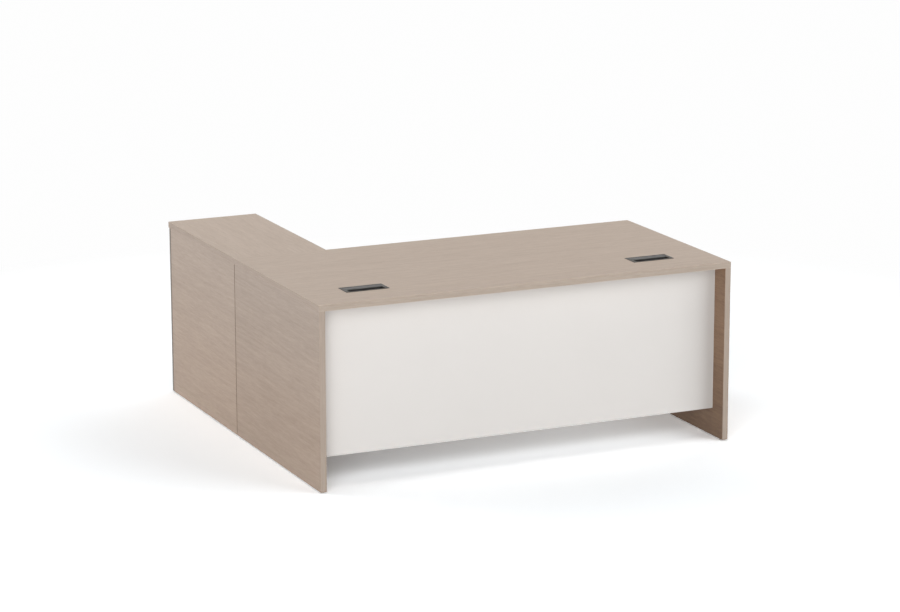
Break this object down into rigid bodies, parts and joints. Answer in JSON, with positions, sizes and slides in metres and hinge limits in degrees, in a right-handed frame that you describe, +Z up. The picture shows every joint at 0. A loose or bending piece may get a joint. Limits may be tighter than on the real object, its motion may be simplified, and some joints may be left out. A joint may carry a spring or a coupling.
{
  "type": "office desk",
  "caption": "L-shaped office desk with a modesty panel, cable boxes in the worktop and a storage return with drawers and a cupboard.",
  "frame": {"origin": "on the floor, at the middle of the desk's bounding box", "axes": "+X along the visitor's side, to the right as a visitor sees it; +Y towards the user; +Z up"},
  "size_m": [1.8, 1.7, 0.7515],
  "materials": {
    "top_laminate": "matt wood-grain laminate",
    "panel_laminate": "matt wood-grain laminate",
    "front_laminate": "matt wood-grain laminate",
    "carcass_laminate": "matt taupe laminate",
    "white_panel": "matt warm white melamine",
    "drawer_board": "matt light grey foil",
    "zinc_steel": "zinc plated",
    "slide_steel": "bright zinc",
    "beech": "raw fluted beech",
    "glide_nylon": "moulded nylon",
    "tray_paint": "fine textured powder coat",
    "box_metal": "grey anodised",
    "lid_metal": "grey anodised",
    "brush_nylon": "nylon bristle",
    "pull_metal": "satin grey",
    "lock_chrome": "satin nickel",
    "catch_plastic": "moulded"
  },
  "bodies": {
    "desk": {"main_top": "top_laminate", "return_top": "top_laminate", "left_side_panel": "panel_laminate", "right_side_panel": "panel_laminate", "modesty_panel": "white_panel", "modesty_brackets": "zinc_steel", "joining_plates": "zinc_steel", "cable_tray": "tray_paint", "cam_housings": "zinc_steel", "cam_bolts": "zinc_steel", "wooden_dowels": "beech", "panel_screws": "zinc_steel", "floor_glides": "glide_nylon", "cable_box_hinge_pins": "zinc_steel", "left_cable_box_frame": "box_metal", "left_cable_box_brush": "brush_nylon", "right_cable_box_frame": "box_metal", "right_cable_box_brush": "brush_nylon", "cabinet_outer_panel": "panel_laminate", "cabinet_inner_end_panel": "carcass_laminate", "cabinet_rear_end_panel": "carcass_laminate", "cabinet_base": "carcass_laminate", "cabinet_partition": "carcass_laminate", "cabinet_top_rails": "carcass_laminate", "cabinet_plinth": "carcass_laminate", "adjustable_shelf": "carcass_laminate", "shelf_pins": "zinc_steel", "slide_outer_members": "slide_steel", "door_pivots": "zinc_steel", "door_catch": "catch_plastic"},
    "left_lid": {"left_cable_box_lid": "lid_metal"},
    "right_lid": {"right_cable_box_lid": "lid_metal"},
    "drawer_1": {"drawer_1_front": "front_laminate", "drawer_1_sides": "drawer_board", "drawer_1_back": "drawer_board", "drawer_1_bottom": "drawer_board", "drawer_1_pull": "pull_metal", "drawer_1_inner_slides": "slide_steel", "lock_housing": "lock_chrome"},
    "drawer_1_middle_slides": {"drawer_1_middle_slides": "slide_steel"},
    "drawer_2": {"drawer_2_front": "front_laminate", "drawer_2_sides": "drawer_board", "drawer_2_back": "drawer_board", "drawer_2_bottom": "drawer_board", "drawer_2_pull": "pull_metal", "drawer_2_inner_slides": "slide_steel"},
    "drawer_2_middle_slides": {"drawer_2_middle_slides": "slide_steel"},
    "drawer_3": {"drawer_3_front": "front_laminate", "drawer_3_sides": "drawer_board", "drawer_3_back": "drawer_board", "drawer_3_bottom": "drawer_board", "drawer_3_pull": "pull_metal", "drawer_3_inner_slides": "slide_steel"},
    "drawer_3_middle_slides": {"drawer_3_middle_slides": "slide_steel"},
    "lock_core": {"lock_cylinder": "lock_chrome", "lock_tongue": "zinc_steel"},
    "door": {"door_panel": "front_laminate", "door_pull": "pull_metal", "door_strike": "zinc_steel"}
  },
  "joints": [
    {"name": "left_lid_hinge", "type": "hinge", "parent": "desk", "child": "left_lid", "pos_m": [-0.63, -0.6235, 0.7475], "axis": [-1, 0, 0], "range_deg": [0, 95]},
    {"name": "right_lid_hinge", "type": "hinge", "parent": "desk", "child": "right_lid", "pos_m": [0.63, -0.6235, 0.7475], "axis": [-1, 0, 0], "range_deg": [0, 95]},
    {"name": "drawer_1_slide", "type": "slide", "parent": "desk", "child": "drawer_1", "axis": [1, 0, 0], "range_m": [0, 0.3]},
    {"name": "drawer_1_middle_slide", "type": "slide", "parent": "desk", "child": "drawer_1_middle_slides", "axis": [1, 0, 0], "range_m": [0, 0.15]},
    {"name": "drawer_2_slide", "type": "slide", "parent": "desk", "child": "drawer_2", "axis": [1, 0, 0], "range_m": [0, 0.3]},
    {"name": "drawer_2_middle_slide", "type": "slide", "parent": "desk", "child": "drawer_2_middle_slides", "axis": [1, 0, 0], "range_m": [0, 0.15]},
    {"name": "drawer_3_slide", "type": "slide", "parent": "desk", "child": "drawer_3", "axis": [1, 0, 0], "range_m": [0, 0.3]},
    {"name": "drawer_3_middle_slide", "type": "slide", "parent": "desk", "child": "drawer_3_middle_slides", "axis": [1, 0, 0], "range_m": [0, 0.15]},
    {"name": "door_hinge", "type": "hinge", "parent": "desk", "child": "door", "pos_m": [-0.51, 0.8095, 0.3925], "axis": [0, 0, 1], "range_deg": [0, 110]},
    {"name": "lock_turn", "type": "hinge", "parent": "drawer_1", "child": "lock_core", "pos_m": [-0.522, 0.38975, 0.6825], "axis": [-1, 0, 0], "range_deg": [0, 90]}
  ],
  "couplings": [
    {"joint": "drawer_1_middle_slide", "follows": "drawer_1_slide", "ratio": 0.5},
    {"joint": "drawer_2_middle_slide", "follows": "drawer_2_slide", "ratio": 0.5},
    {"joint": "drawer_3_middle_slide", "follows": "drawer_3_slide", "ratio": 0.5}
  ]
}
